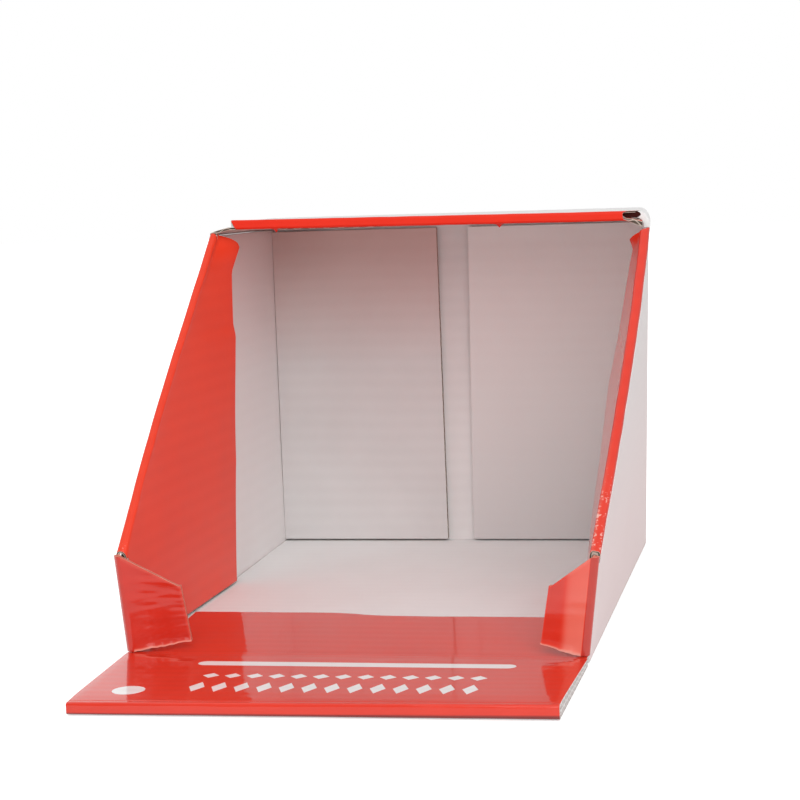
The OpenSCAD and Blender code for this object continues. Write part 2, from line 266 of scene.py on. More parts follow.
def washboard(tree, axis, spot):
    """Height of the soft ripples that the flutes press through the liner, 0 to 1."""
    drift = add_node(tree, "TexNoise", {"Vector": spot, "Scale": 9.0, "Detail": 2.0})
    turn = calc(tree, "MULTIPLY_ADD", pick(tree, axis, spot), 2 * math.pi / (FLUTE / 1000),
                calc(tree, "MULTIPLY", drift.outputs[0], 5.0))
    return calc(tree, "MULTIPLY_ADD", calc(tree, "SINE", turn), 0.5, 0.5)


def board_finish(name, face, shade, fluted, *layers, gloss=0.0, haze=0.04, ripple=0.02):
    """White liner or red print over corrugated board; fluted is the axis the ripples repeat along.
    The layers are then laid over its colour in turn."""
    made = bpy.data.materials.new(name)
    tree = empty_tree(made)
    coords = add_node(tree, "TexCoord")
    spot = coords.outputs["Object"]
    wave = washboard(tree, fluted, spot)
    blotch = add_node(tree, "TexNoise", {"Vector": spot, "Scale": 28.0, "Detail": 5.0, "Roughness": 0.6})
    fibre = add_node(tree, "TexNoise", {"Vector": spot, "Scale": 1400.0, "Detail": 3.0})
    cloud = calc(tree, "MULTIPLY_ADD", wave, 0.12, calc(tree, "MULTIPLY", blotch.outputs[0], 0.9))
    colour = shades(tree, cloud, shade, face, 0.25, 0.75)
    for layer in layers:
        colour = layer(tree, coords, colour)
    low = add_node(tree, "Bump", {"Strength": 1.0, "Distance": ripple / 1000, "Height": wave})
    fine = add_node(tree, "Bump", {"Strength": 0.12, "Distance": 0.0001, "Height": fibre.outputs[0],
                                   "Normal": low.outputs[0]})
    rough = calc(tree, "MULTIPLY_ADD", blotch.outputs[0], 0.18, 0.34 if gloss else 0.48)
    shader = add_node(tree, "BsdfPrincipled", {
        "Base Color": colour, "Roughness": rough, "Normal": fine.outputs[0],
        "Specular IOR Level": 0.15 if gloss else 0.3, "Coat Weight": gloss, "Coat Roughness": haze,
        "Coat Normal": low.outputs[0]})
    add_node(tree, "OutputMaterial", {"Surface": shader.outputs[0]})
    return made


def painted_light_tint(axis, start, end, tone):
    """A layer that tints the liner between two heights: painted red bounce light inside the walls, painted
    shade and red bounce light on the left base flap, painted shade on the right one, and a pinker tone low
    on the right wall's outside.
    """
    def layer(tree, coords, colour):
        amount = ramp(tree, pick(tree, axis, coords.outputs["Object"]), start, end)
        return mixed(tree, amount, colour, (*tone, 1))
    return layer


def fold_shade(tree, coords, colour):
    """A layer for a wall's raw front edge, which is dark where the rolled fold covers it."""
    spot = coords.outputs["Object"]
    high = ramp(tree, pick(tree, "Z", spot), 0.033, 0.036)
    front = ramp(tree, pick(tree, "Y", spot), -0.0955, -0.0975)
    return mixed(tree, calc(tree, "MULTIPLY", high, front), colour, (0.10, 0.06, 0.045, 1))


def side_wall(side):
    """A wall from the floor up to its slope, and behind that up to the top."""
    def place(u, v, w):
        y = mix(SETBACK + TAB_GAP, DEPTH, u)
        top = top_z(max(y, RUN)) - (2 * BOARD if side == LEFT else corner_round(y)) - HAIR
        z = v * min(slope_z(y) - DROP - HAIR, top)
        return wall_x(side, w * BOARD, y, z), y, z
    return place


wall_liner = board_finish("wall_liner", WHITE, WHITE_SHADE, "Z")
# The right wall's outside is painted darker than the left's white liner, as painted shade, and it is pinker
# toward the bottom.
shaded_pink_liner = board_finish("shaded_pink_liner", (0.71, 0.69, 0.685), (0.68, 0.645, 0.64), "Z",
                             painted_light_tint("Z", 0.14, 0.03, (0.80, 0.66, 0.655)))
# The walls' insides are painted brighter than the white liner, as painted light, and pinker toward the top,
# as painted red bounce light from the print.
lit_inner_liner = board_finish("lit_inner_liner", (0.91, 0.905, 0.90), (0.88, 0.87, 0.865), "Z",
                           painted_light_tint("Z", 0.09, 0.21, (0.85, 0.60, 0.58)))
front_rim = board_finish("front_rim", WHITE, WHITE_SHADE, "Z", fold_shade)
for side, name, node, outside, edge in (
        (LEFT, "wall_left", "left_side_panel", wall_liner, 0.5),
        (RIGHT, "wall_right", "right_side_panel", shaded_pink_liner, 1.1)):
    wall = bent_board(name, 64, 40, side_wall(side), (outside, lit_inner_liner, front_rim), edge)
    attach(wall, "carton")
    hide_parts(node)


# Floor, base and base flaps: flat panels of the same board, creased to the panels round them.
# The solids' own shapes serve; they get the liner, its ripples and the cut edges.
# Tones of a cut edge: painted shade in the flutes' hollows, then the paper from dark to light.
KRAFT = ((0.10, 0.075, 0.06), (0.42, 0.33, 0.26), (0.74, 0.66, 0.58))
PAPER, SWING = 0.13, 0.36        # shares of the board's thickness: a paper, and the middle one's wave


def cut_colour(tree, deep, spot, fluted, tones=KRAFT):
    """Colour of a board's cut edge: two liners, the waved middle paper, and the hollows between them,
    painted dark as their shade.
    """
    turn = calc(tree, "MULTIPLY", pick(tree, fluted, spot), 2 * math.pi / (FLUTE / 1000))
    middle = calc(tree, "MULTIPLY_ADD", calc(tree, "SINE", turn), SWING, 0.5)
    off = calc(tree, "ABSOLUTE", calc(tree, "SUBTRACT", deep, middle))
    off_centre = calc(tree, "ABSOLUTE", calc(tree, "SUBTRACT", deep, 0.5))
    solid = calc(tree, "MAXIMUM", calc(tree, "LESS_THAN", off, PAPER),
                 calc(tree, "GREATER_THAN", off_centre, 0.5 - PAPER))
    grain = add_node(tree, "TexNoise", {"Vector": spot, "Scale": 700.0, "Detail": 3.0})
    hollow, dark, light = tones
    return mixed(tree, solid, (*hollow, 1), shades(tree, grain.outputs[0], dark, light))


def cut_rim(node, axis, fluted):
    """A layer for the edges of a flat panel; axis runs through the panel's thickness."""
    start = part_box(node)[0]["XYZ".index(axis)]

    def layer(tree, coords, colour):
        spot = coords.outputs["Object"]
        deep = calc(tree, "DIVIDE", calc(tree, "SUBTRACT", pick(tree, axis, spot), start), BOARD / 1000)
        facing = calc(tree, "ABSOLUTE", pick(tree, axis, coords.outputs["Normal"]))
        rim = calc(tree, "LESS_THAN", facing, 0.5)
        return mixed(tree, rim, colour, cut_colour(tree, deep, spot, fluted))
    return layer


for node, name, face, shade, through, fluted, tints in (
        # The floor's liner is painted brighter and cooler than the white liner, as painted light.
        ("floor_panel", "lit_floor_liner", (0.89, 0.92, 0.915), (0.85, 0.87, 0.865), "Z", "Y", ()),
        ("base_panel", "base_liner", WHITE, WHITE_SHADE, "Y", "Z", ()),
        # The left flap is painted darker, as painted shade, and redder toward the top, as painted shade and
        # red bounce light.
        ("left_base_flap", "shaded_left_flap_liner", (0.73, 0.715, 0.71), (0.67, 0.65, 0.645), "Y", "Z",
         (painted_light_tint("Z", 0.09, 0.19, (0.72, 0.42, 0.37)),)),
        # The right flap is painted brighter, as painted light, and darker toward the floor, as painted
        # shade.
        ("right_base_flap", "lit_right_flap_liner", (0.94, 0.93, 0.915), (0.90, 0.885, 0.87), "Y", "Z",
         (painted_light_tint("Z", 0.15, 0.01, (0.68, 0.655, 0.65)),))):
    panel = bpy.data.objects[node]
    panel.data.materials.clear()
    panel.data.materials.append(
        board_finish(name, face, shade, fluted, cut_rim(node, through, fluted), *tints))


# Top panel: the carton's front in use, glued over the left wall's flap a little askew.
# Its right edge rolls over into the right wall; the flap's raw front edge shows at the left.
TOP_INSET = (12.8, 2.4)          # of its left edge from the carton's side, at the front and the back
FLAT_SHARE, INSIDE_ROUND = 0.8, 0.4    # share of the columns before the rolled edge, and its inner radius
PROUD_CORNER, PROUD_ACROSS, PROUD_BACK = -77, 150, 40    # where it stands proud, and how far that goes
FLAP_WIDE, FLAP_THICK = 28, 1.25
FLAP_FRONT, FLAP_BACK, FLAP_SLANT = 1.4, 0.4, 6.2        # cut back from the wall's ends, and aslant
FLAP_START, FLAP_HOLD = 1.2, 2.7    # how high it leaves the wall, and how far it stays flat at the back
# The hollow at the rolled fold's right end, painted dark as its shade, across and up, in metres: its middle
# and half its size
HOLLOW_AT, HOLLOW_HALF = (0.09788, 0.16242), (0.003846, 0.001613)
TOP_FRONT = 0.0125


def cut_finish(name, fluted, *layers, tones=KRAFT):
    """Raw edge of a bent board, read from its own depth attribute."""
    made = bpy.data.materials.new(name)
    tree = empty_tree(made)
    coords = add_node(tree, "TexCoord")
    deep = add_node(tree, "Attribute", attribute_name="depth")
    colour = cut_colour(tree, deep.outputs["Fac"], coords.outputs["Object"], fluted, tones)
    for layer in layers:
        colour = layer(tree, coords, colour)
    grain = add_node(tree, "TexNoise", {"Vector": coords.outputs["Object"], "Scale": 900.0, "Detail": 2.0})
    relief = add_node(tree, "Bump", {"Strength": 0.4, "Distance": 0.0003, "Height": grain.outputs[0]})
    shader = add_node(tree, "BsdfPrincipled", {"Base Color": colour, "Roughness": 0.85,
                                               "Specular IOR Level": 0.1, "Normal": relief.outputs[0]})
    add_node(tree, "OutputMaterial", {"Surface": shader.outputs[0]})
    return made


def tucked_front(tree, coords, colour):
    """A layer for the top's front edge: pale liner, and painted shade on the hollow at the rolled fold's
    right end.
    """
    spot = coords.outputs["Object"]
    front = calc(tree, "LESS_THAN", pick(tree, "Y", spot), TOP_FRONT)
    across, up = (
        calc(tree, "DIVIDE", calc(tree, "SUBTRACT", pick(tree, axis, spot), middle), half)
        for axis, middle, half in zip("XZ", HOLLOW_AT, HOLLOW_HALF))
    off = calc(tree, "MULTIPLY_ADD", across, across, calc(tree, "MULTIPLY", up, up))
    hollow = calc(tree, "MULTIPLY", front, calc(tree, "LESS_THAN", off, 1.0))
    return mixed(tree, hollow, mixed(tree, front, colour, (0.82, 0.8, 0.79, 1)), (0.045, 0.008, 0.006, 1))


def top_left(y):
    """The top's left edge, glued askew, so that it stands further in at the front."""
    return -HALF + mix(*TOP_INSET, (y - RUN) / (DEPTH - RUN))


def top_lift(x, y):
    """The top's left front corner stands a little proud where it was glued."""
    return max(0.0, 1 - (x - PROUD_CORNER) / PROUD_ACROSS) * max(0.0, 1 - (y - RUN) / PROUD_BACK)


def top_panel(u, v, w):
    """Flat for most of its width, then rolled down into the right wall."""
    y = mix(RUN + BOARD + HAIR, DEPTH, v)
    right, radius = wall_x(RIGHT, 0, y, top_z(y)), corner_round(y)
    if u <= FLAT_SHARE:
        x = mix(top_left(y), right - radius, u / FLAT_SHARE)
        return x, y, top_z(y) + top_lift(x, y) - w * BOARD
    turn = (u - FLAT_SHARE) / (1 - FLAT_SHARE) * math.pi / 2
    reach = radius - w * min(BOARD, radius - INSIDE_ROUND)
    low = wall_x(RIGHT, 0, y, top_z(y) - radius) - wall_x(RIGHT, 0, y, top_z(y))
    x = right - radius + reach * math.sin(turn) + low * (1 - math.cos(turn))
    return x, y, top_z(y) - radius + reach * math.cos(turn)


def glue_flap(u, v, w):
    """Rises from the wall's crease to lie under the top; its back corner is cut on the slant."""
    slant = min(FLAP_SLANT, max(0.0, FLAP_WIDE * u - BOARD) * 8)
    y = mix(RUN + FLAP_FRONT, DEPTH - FLAP_BACK - slant, v)
    edge = wall_x(LEFT, 0, y, top_z(y) - 2 * BOARD)
    x = edge + FLAP_WIDE * u
    rise = max(3.0, top_left(y) - edge - 1)
    under = top_z(y) - BOARD - HAIR + top_lift(-70, y) * 0.9
    hold = FLAP_HOLD * ((y - RUN) / (DEPTH - RUN)) ** 4
    bow = min(1.0, max(0.0, x - edge - hold) / rise)
    z = mix(top_z(y) - 2 * BOARD + FLAP_START, under, bow ** 0.8)
    return x, y, z - w * FLAP_THICK


top_liner = board_finish("top_liner", WHITE, WHITE_SHADE, "Y")
# Its tones start with the painted shade in the hollows.
top_cut = cut_finish("top_cut", "Y", tucked_front,
                     tones=((0.34, 0.29, 0.25), (0.58, 0.5, 0.44), (0.84, 0.79, 0.75)))
top = bent_board("top_panel_board", 100, 40, top_panel, (top_liner, top_liner, top_cut), edge=0.4)
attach(top, "carton")
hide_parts("top_panel")
# The flap's underside is painted a dark pink instead of white liner, as painted shade with red bounce light.
shaded_flap_underside = board_finish("shaded_flap_underside", (0.66, 0.46, 0.42), (0.58, 0.38, 0.34), "Y")
flap_cut = cut_finish("flap_cut", "X")
flap = bent_board("glue_flap", 40, 40, glue_flap, (top_liner, shaded_flap_underside, flap_cut), edge=0.15)
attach(flap, "carton")
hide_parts("left_glue_flap")


# Slopes: the printed tail of each side wall is creased twice over the slope and tucked in.
# The rolled fold is a crushed hollow tube with torn ends; the return springs inward behind it.
RED, RED_SHADE = (0.78, 0.036, 0.013), (0.70, 0.027, 0.009)
# Pale tones for rubbed print, also used for a painted reflection; a dark red for painted shade; and the pale
# core where it is chipped.
PALE_WEAR_AND_SHEEN, BARE_WEAR_AND_SHEEN = (0.88, 0.16, 0.10), (0.88, 0.44, 0.36)
PAINTED_SHADE_RED, CHIPPED = (0.16, 0.01, 0.008, 1), (0.90, 0.58, 0.50, 1)
FOLD_WIDE, FOLD_ROUND = {LEFT: 3.1, RIGHT: 4.2}, 1.2
# A fold's outer and inner radius, and the thickness of its crushed board
FOLD_SECTION = {LEFT: (1.0, 1.9, 0.6), RIGHT: (FOLD_ROUND, FOLD_ROUND, 1.0)}
# Where a fold's ends are cut: the place along the slope, and its shift across and down the fold
FOLD_FOOT = {LEFT: (4.0, 1.0, 0.0), RIGHT: (4.4, 0.8, 0.0)}
FOLD_HEAD = {LEFT: (119.6, 0.0, 0.3), RIGHT: (118.0, -2.5, 0.96)}
FOLD_SWELL = {LEFT: 1.3, RIGHT: 0.0}             # how far it bulges outward at its foot
# The return's top corner: its height, how far it is rounded off, and the step up behind the fold
RETURN_CORNER = {LEFT: (155.2, 2.5, 3.2), RIGHT: (151.9, 0.4, 1.8)}
RETURN_EDGE = 122.5                              # place of its free edge
RETURN_SWEEP = {LEFT: 7.0, RIGHT: 0.0}           # how far that edge runs back at its top
RETURN_CURL = {LEFT: 1.25, RIGHT: 1.0}           # over 1, it leaves the wall gently and then faster
RETURN_FOOT, RETURN_FRONT, RETURN_SLANT = 4.0, 4.5, 3    # its lower edge: height, start and steepness
# Height of points on the returns' free edges, and how far they stand in from the wall's face
SPRING = {
    LEFT: ((3, 6.5), (30, 8.6), (59, 10.5), (100, 11.0), (114, 10.9), (119, 9.6), (142, 8.1), (152.5, 11.0)),
    RIGHT: ((3, 16.5), (30, 15.6), (60, 13.3), (90, 11.8), (110, 9.4), (118, 8.7), (142, 7.1), (148, 6.4),
            (152, 8.3))}
# Shares of the grid: across it the fold, and along it the stretch that the fold holds
FOLD_PART, FREE_FROM = 0.25, 0.88
SCUFFED = {LEFT: (0.6, 44), RIGHT: (1.0, 64)}    # how worn a fold's foot is, and up to what height
CREASES = ((0.34, 0.09), (0.66, 0.1))            # where the two creases run on the fold, and how broad
FOLD_WAVER, RETURN_WAVER = 0.14, 0.12            # how far they stray from true


def wobble(x, y, z, size):
    return noise.noise(Vector((x / size, y / size, z / size)))


def falling(value, place, soft):
    """One before a place and none beyond it, with a soft change between."""
    return 1 / (1 + math.exp((value - place) / soft))


def along(table, at):
    """A value read off a table of points, straight from each to the next."""
    for (a, low), (b, high) in zip(table, table[1:]):
        if at <= b:
            return mix(low, high, max(0.0, (at - a) / (b - a)))
    return table[-1][1]


def worn_and_shaded_print(tree, coords, colour):
    """A layer that rubs and chips the print, as the piece's own attributes say; it also lays a painted
    reflection on it and darkens it as painted shade.
    """
    rubbed_and_shaded = add_node(tree, "Attribute", attribute_name="rubbed_and_shaded").outputs["Fac"]
    chipped = add_node(tree, "Attribute", attribute_name="chipped").outputs["Fac"]
    specks = add_node(tree, "TexNoise", {"Vector": coords.outputs["Object"], "Scale": 900.0, "Detail": 4.0})
    bare = ramp(tree, calc(tree, "MULTIPLY_ADD", chipped, 0.42, specks.outputs[0]), 0.78, 0.96, 0.0, 0.95)
    pale = shades(tree, calc(tree, "MAXIMUM", rubbed_and_shaded, 0.0), PALE_WEAR_AND_SHEEN, BARE_WEAR_AND_SHEEN)
    amount = calc(tree, "MINIMUM", calc(tree, "MULTIPLY", rubbed_and_shaded, 1.8), 0.9)
    colour = mixed(tree, amount, colour, pale)
    # Painted shade: the print is darkened where the attribute is below nought.
    colour = mixed(tree, calc(tree, "MULTIPLY", rubbed_and_shaded, -1.0), colour, PAINTED_SHADE_RED)
    return mixed(tree, bare, colour, CHIPPED)


def rolled(wide, deep, outer, inner, t):
    """A point on a rolled fold's section: across its width, and down from its crown. It goes up the
    outer side, round onto the crown, along it, and round down the inner side."""
    lengths = (deep - outer, outer * math.pi / 2, wide - outer - inner, inner * math.pi / 2, deep - inner)
    way = t * sum(lengths)
    for step, length in enumerate(lengths):
        if way <= length or step == 4:
            break
        way -= length
    if step == 0:
        return 0.0, deep - way
    if step == 1:
        return outer - outer * math.cos(way / outer), outer - outer * math.sin(way / outer)
    if step == 2:
        return outer + way, 0.0
    if step == 3:
        return wide - inner + inner * math.sin(way / inner), inner - inner * math.cos(way / inner)
    return wide, inner + way


def lower_edge(y):
    """Height of a return's lower edge, which slants down steeply behind the wall's front edge."""
    return SHOULDER - DROP - BOARD - RETURN_SLANT * (y - SETBACK - RETURN_FRONT)


def slope_board(side):
    """One side's fold and return, as one sheet: its shape, its outline, and its wear and painted shade."""
    wide = FOLD_WIDE[side]
    outer, inner, skin = FOLD_SECTION[side]
    corner, blunt, rise = RETURN_CORNER[side]

    def cut(line, share, down):
        return line[0] + line[1] * share + line[2] * down

    def on_slope(u, share, down):
        return mix(cut(FOLD_FOOT[side], share, down), cut(FOLD_HEAD[side], share, down),
                   min(1.0, u / FREE_FROM))

    def place(u, v, w):
        share = min(1.0, v / FOLD_PART)
        across, down = rolled(wide - 2 * skin * w, BOARD - skin * w, outer - 0.5 * w, inner - 0.6 * w, share)
        down += skin * w
        y = on_slope(u, share, down)
        # On the slope the sheet is rolled into the fold
        if v <= FOLD_PART and u <= FREE_FROM:
            z = slope_z(y) - down * DROP / BOARD
            swell = FOLD_SWELL[side] * math.exp(-(y - 4) / 9) * (1 - share)
            inset = across + skin * w - swell + FOLD_WAVER * wobble(side * 9, y, share * 3, 7.0)
            return wall_x(side, inset, y, z), y, z
        # Behind it the return hangs down from the fold, and its free edge rises to the corner
        top = slope_z(y) - DROP
        if u > FREE_FROM:
            free = (u - FREE_FROM) / (1 - FREE_FROM)
            top = mix(top + rise * min(1.0, 12 * free), corner, free)
            top -= blunt * (1 - math.sqrt(max(0.0, 1 - max(0.0, 2 * free - 1) ** 2)))
        low = min(top, max(RETURN_FOOT, lower_edge(y)))
        z = mix(top, low, (v - FOLD_PART) / (1 - FOLD_PART))
        edge = RETURN_EDGE + RETURN_SWEEP[side] * (z / 155) ** 2
        if u > FREE_FROM:
            y = mix(y, edge, free)
        # It springs inward from the wall, and is pressed thin where it leaves the fold
        start = max(0.0, SETBACK + (z + DROP - SHOULDER) / GRADE)
        behind = max(0.0, y - start)
        spring = along(SPRING[side], z) - wide
        inset = wide + spring * min(1.0, behind / (edge - start)) ** RETURN_CURL[side]
        inset += RETURN_WAVER * wobble(side * 5, y, z, 45.0) * min(1.0, behind / 20)
        inset -= w * mix(min(1.0, wide - BOARD), BOARD, min(1.0, behind / 40))
        return wall_x(side, inset, y, z), y, z

    def keep(u, v):
        if v < FOLD_PART:
            return u < FREE_FROM
        y = on_slope(u, 1, BOARD)
        return slope_z(y) - DROP - lower_edge(y) > 0.5

    def wear_and_shade(u, v):
        if v > FOLD_PART:
            return 0.0, 0.0
        share = v / FOLD_PART
        z = slope_z(mix(4, 112, u / FREE_FROM))
        amount, height = SCUFFED[side]
        low = amount * math.exp(-max(0.0, z - height) / 9)
        crease = sum(math.exp(-((share - middle) / broad) ** 2) for middle, broad in CREASES)
        patch = 0.62 + 0.5 * wobble(z, share * 6, side * 4, 2.6)
        # Painted shade: the right fold's outer face is painted darker than its crown, and most of the left
        # fold a little darker
        painted_shade = -0.45 * falling(share, 0.33, 0.03) if side == RIGHT else -0.12 * (share < 0.7)
        return painted_shade + 0.12 * crease * low, low * patch * (0.55 + 0.45 * crease)

    return place, keep, wear_and_shade


inner_paper = board_finish("inner_paper", (0.30, 0.16, 0.13), (0.2, 0.1, 0.08), "Z", ripple=0.05)
torn_lining = cut_finish("torn_lining", "Z")
# The left return's print is painted a brighter red than the right's, as painted light.
lit_left_slope_print = board_finish("lit_left_slope_print", (0.94, 0.064, 0.026), (0.86, 0.052, 0.020), "Z",
                                worn_and_shaded_print, gloss=0.35, haze=0.2)
right_slope_print = board_finish("right_slope_print", RED, RED_SHADE, "Z", worn_and_shaded_print, gloss=1.0, haze=0.16)
for side, name, nodes, outside in (
        (LEFT, "slope_return_left", ("left_slope_fold", "left_side_return"), lit_left_slope_print),
        (RIGHT, "slope_return_right", ("right_slope_fold", "right_side_return"), right_slope_print)):
    place, keep, wear_and_shade = slope_board(side)
    tail = bent_board(name, 100, 100, place, (outside, inner_paper, torn_lining), 0.15, keep, wear_and_shade)
    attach(tail, "carton")
    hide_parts(*nodes)


# Rolled fold along the top panel's front edge, cut off short of the right wall, and its tail.
# It is a hollow crushed tube like the slope folds, with its ends cut on the slant.
TOP_HIGH, TOP_SKIN = BOARD + 1.3, 0.8
TOP_ENDS = (13.3, 12.8)          # how far its ends stand in from the carton's sides
TAIL_FRONT, TAIL_BACK, TAIL_THICK = 1.6, 49, 0.8
TAIL_LEFT, TAIL_RIGHT, TAIL_CUT_BACK = 28.3, 3.4, 8    # how far in its ends are; the right one steps in
NIBS, NIB_DEEP, NIB_HALF = (-57.1, 41.4), 1.7, 0.9     # their places across, and their size


def top_fold(u, v, w):
    """The fold stands on the top's front edge, with small nibs at its lower edge."""
    skin = TOP_SKIN * w
    across, down = rolled(TOP_HIGH - 2 * skin, BOARD - skin, 1.0 - 0.6 * w, FOLD_ROUND - 0.6 * w, v)
    left = -HALF + TOP_ENDS[0] + 0.5 * across + 0.3 * down
    right = wall_x(RIGHT, 0, RUN, MOUTH) - TOP_ENDS[1] + 0.8 * v + 2.6 * down
    x = mix(left, right, u)
    y = RUN + down + skin
    z = MOUTH - across - skin + top_lift(x, y) + 0.08 * wobble(x, v * 4, 1, 9.0)
    for nib in NIBS:
        z -= NIB_DEEP * math.exp(-((x - nib) / NIB_HALF) ** 4) * max(0.0, (v - 0.8) / 0.2)
    return x, y, z


def top_tail(u, v, w):
    """The fold's tail, glued under the top panel; its right end droops and is left raw."""
    y = mix(RUN + TAIL_FRONT, RUN + TAIL_BACK, v)
    left = wall_x(LEFT, 0, y, top_z(y) - 2 * BOARD) + TAIL_LEFT
    right = wall_x(RIGHT, 0, y, top_z(y) - 6) - (TAIL_RIGHT if v < 0.2 else TAIL_CUT_BACK)
    x = mix(left, right, u)
    front = math.exp(-(y - RUN) / 9)
    droop = 1.9 * max(0.0, (u - 0.955) / 0.045) ** 1.5 * front
    swell = 2.0 * max(0.0, (u - 0.94) / 0.06) * front
    return x, y, top_z(y) - BOARD - HAIR - droop - (TAIL_THICK + swell) * (1 - w)


top_print = board_finish("top_print", (0.84, 0.03, 0.010), (0.78, 0.024, 0.007), "Z", worn_and_shaded_print,
                         gloss=0.12, haze=0.25)
fold = bent_board("rolled_top", 200, 20, top_fold, (top_print, inner_paper, torn_lining), edge=0.15)
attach(fold, "carton")
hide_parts("top_front_fold")
tail_cut = cut_finish("tail_cut", "X")
tail = bent_board("top_tail", 110, 40, top_tail, (top_print, top_print, tail_cut), edge=0.15)
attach(tail, "carton")
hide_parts("top_return")


# Header: the printed face is carried from its glued tail on the floor over the pressed crease,
# along the backing board and round the front edge, where it is creased twice.
# The print leaves plain white shapes on it: a bar, a disc and two rows of lozenges.
LENGTH = 72.0
PRESSED, SWELL = 1.5, 0.17           # a header board's thickness at the crease, and what it gains ahead
FLOOR_PRESSED, PRESS_REACH = 1.0, 20.0
CREASE_GAP, CREASE_HALF = 1.2, 2.6   # the boards stop short of the crease, and its skin covers the gap
SKIN_ENDS, SKIN_PROUD, SKIN_THICK = (-91.4, 89.6), 0.03, 0.25
STRIP, STRIP_FULL, STRIP_NARROW = 54.0, 89.7, (87.0, 82.0)    # its length, and its half widths
SKEW, SKEW_TURN = 0.35, 0.021        # how far the header's front edge stands ahead, and its turn
CRUSHED, CRUSHED_LEFT = 0.15, 0.42   # what a board loses at the front edge: everywhere, and to the left
# How far the header is wider than the carton at each side, by the crease, and how that changes ahead
FLARE = {LEFT: (1.7, -4.3), RIGHT: (0.0, -0.9)}
# The white shapes: places across and ahead of the crease, half sizes and radii
BAR_AT, BAR_HALF, BAR_ROUND = (4.0, 15.0), 58.0, 3.2
DISC_AT, DISC_ROUND = (-70.0, 57.0), 6.0
LOZENGE_PITCH, ROW_MIDDLE, ROW_HALF = 8.4, 4.2, 54.6
LOZENGE_ROWS = ((51.0, 2.9, 7.0), (34.0, 3.2, 3.6))    # a row's place ahead, its lozenges' half sizes


def white_print(tree, coords, colour):
    """A layer where the print is left white: a bar, a disc, and two rows of plain lozenges."""
    x = calc(tree, "MULTIPLY", pick(tree, "X", coords.outputs["Object"]), 1000.0)
    ahead = calc(tree, "MULTIPLY_ADD", pick(tree, "Y", coords.outputs["Object"]), -1000.0, -DEPTH / 2)

    def off(value, middle, half=0.0):
        distance = calc(tree, "ABSOLUTE", calc(tree, "SUBTRACT", value, middle))
        return calc(tree, "MAXIMUM", calc(tree, "SUBTRACT", distance, half), 0.0)

    def near(a, b, reach):
        squares = calc(tree, "MULTIPLY_ADD", a, a, calc(tree, "MULTIPLY", b, b))
        return calc(tree, "LESS_THAN", calc(tree, "SQRT", squares), reach)

    shapes = [near(off(x, BAR_AT[0], BAR_HALF), off(ahead, BAR_AT[1]), BAR_ROUND),
              near(off(x, DISC_AT[0]), off(ahead, DISC_AT[1]), DISC_ROUND)]
    for row, wide, tall in LOZENGE_ROWS:
        cell = calc(tree, "FLOORED_MODULO", x, LOZENGE_PITCH)
        across = calc(tree, "ABSOLUTE", calc(tree, "SUBTRACT", cell, LOZENGE_PITCH / 2))
        out = calc(tree, "ADD", calc(tree, "DIVIDE", across, wide),
                   calc(tree, "DIVIDE", off(ahead, row), tall))
        in_row = calc(tree, "LESS_THAN", off(x, ROW_MIDDLE), ROW_HALF)
        shapes.append(calc(tree, "MULTIPLY", calc(tree, "LESS_THAN", out, 1.0), in_row))
    white = shapes[0]
    for shape in shapes[1:]:
        white = calc(tree, "MAXIMUM", white, shape)
    return mixed(tree, white, colour, (0.93, 0.92, 0.915, 1))


def header_side(side, ahead):
    """Place across of the header's side edges, which aren't quite square to its crease."""
    wider, change = FLARE[side]
    return side * (HALF + (wider + change * ahead / LENGTH))


def askew(x, ahead):
    """The header was folded a little out of square, so its left end reaches further."""
    return ahead * (1 + (SKEW - SKEW_TURN * x) / LENGTH)


def crushed(x):
    """Thickness of one of the header's boards at its front edge, flatter toward the left."""
    return BOARD - CRUSHED - CRUSHED_LEFT * (HALF - x) / (2 * HALF)


def pressed_board(x, ahead):
    """Thickness of one of the header's boards: least at the crease, and crushed at the front edge."""
    return (mix(PRESSED, crushed(x) + SWELL, ahead / (LENGTH - BOARD))
            - SWELL * max(0.0, (ahead - 55) / 14.2) ** 2)


def header_board(high):
    """The header's two boards, both pressed thin toward the crease; high counts from the ground up."""
    def place(u, v, w):
        ahead = mix(CREASE_GAP, LENGTH - BOARD, v)
        x = mix(header_side(LEFT, ahead), header_side(RIGHT, ahead), u)
        gap = 0.04 if high == 2 and w else 0.0
        return x, -askew(x, ahead), pressed_board(x, ahead) * (high - w) + gap
    return place


def header_fold(u, v, w):
    """The print rolled over both boards' front edges, down to the ground."""
    across, down = rolled(2 * BOARD - 2.0 * w, BOARD - w, FOLD_ROUND - 0.6 * w, FOLD_ROUND - 0.6 * w, v)
    x = mix(header_side(LEFT, LENGTH), header_side(RIGHT, LENGTH), u)
    crush = 0.12 * wobble(x * 0.2, 4, v * 9, 1.6) * (1 - w)
    high = (2 * BOARD - across - w) * crushed(x) / BOARD
    return x, -askew(x, LENGTH) + down + w + crush, high


def strip_top(back):
    """Height of the glued strip's printed face above the ground."""
    return 2 * mix(PRESSED, BOARD, back / STRIP)


def floor_top(back):
    """Height of the floor panel under the strip, pressed thin toward the crease."""
    return mix(FLOOR_PRESSED, BOARD, min(1.0, max(0.0, back) / PRESS_REACH))


def header_crease(u, v, w):
    """The printed face where it bends: a thin skin laid over both sides of the crease."""
    y = mix(CREASE_HALF, -CREASE_HALF, v)
    x = mix(SKIN_ENDS[0] + 0.1 * abs(y), SKIN_ENDS[1], u)
    high = strip_top(y) if y > 0 else 2 * pressed_board(x, -y)
    return x, y, high + SKIN_PROUD - 0.05 * (abs(y) / CREASE_HALF) ** 6 - SKIN_THICK * w


